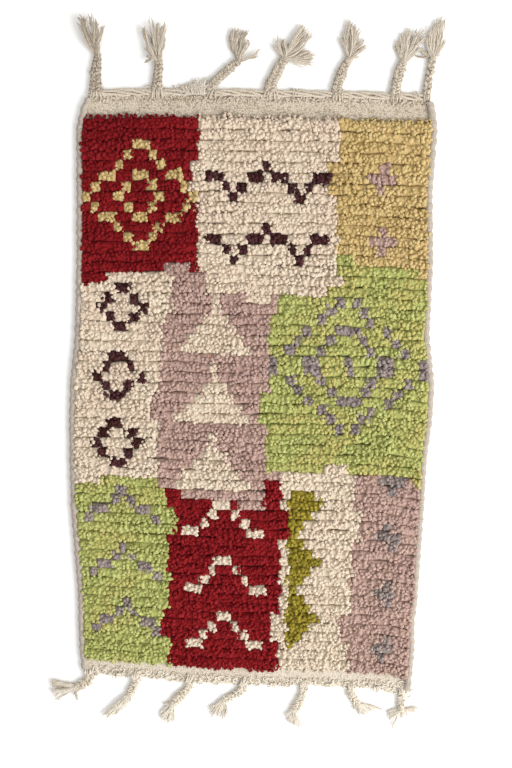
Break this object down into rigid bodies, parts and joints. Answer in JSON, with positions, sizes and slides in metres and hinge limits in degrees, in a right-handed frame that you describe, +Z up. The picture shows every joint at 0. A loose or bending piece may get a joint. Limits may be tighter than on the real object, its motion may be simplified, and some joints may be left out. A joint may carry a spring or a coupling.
{
  "type": "moroccan rug",
  "caption": "Small hand-knotted wool pile rug in soft colour blocks, lying flat, with flat-woven ends, twined end cords and braided tassels.",
  "frame": {"origin": "middle of the rug's underside, on the surface it lies on", "axes": "+Y along the warp towards the upper end, +X across the rug, +Z up through the pile"},
  "size_m": [0.678, 1.2214, 0.0181],
  "materials": {
    "warp_wool": "undyed plied wool warp, matt",
    "cream_wool": "undyed wool pile, soft and matt",
    "green_wool": "dyed wool pile, soft and matt",
    "red_wool": "dyed wool pile, soft and matt",
    "lilac_wool": "dyed wool pile, soft and matt",
    "gold_wool": "dyed wool pile, soft and matt",
    "grey_wool": "undyed grey wool pile, soft and matt",
    "brown_wool": "dark wool pile, soft and matt"
  },
  "bodies": {
    "root": {"rug": "cream_wool", "edge_cord_top": "warp_wool", "edge_cord_bottom": "warp_wool", "tassel_top_1": "warp_wool", "tassel_top_2": "warp_wool", "tassel_top_3": "warp_wool", "tassel_top_4": "warp_wool", "tassel_top_5": "warp_wool", "tassel_top_6": "warp_wool", "tassel_top_7": "warp_wool", "tassel_bottom_1": "warp_wool", "tassel_bottom_2": "warp_wool", "tassel_bottom_3": "warp_wool", "tassel_bottom_4": "warp_wool", "tassel_bottom_5": "warp_wool", "tassel_bottom_6": "warp_wool", "tassel_bottom_7": "warp_wool"}
  },
  "joints": []
}
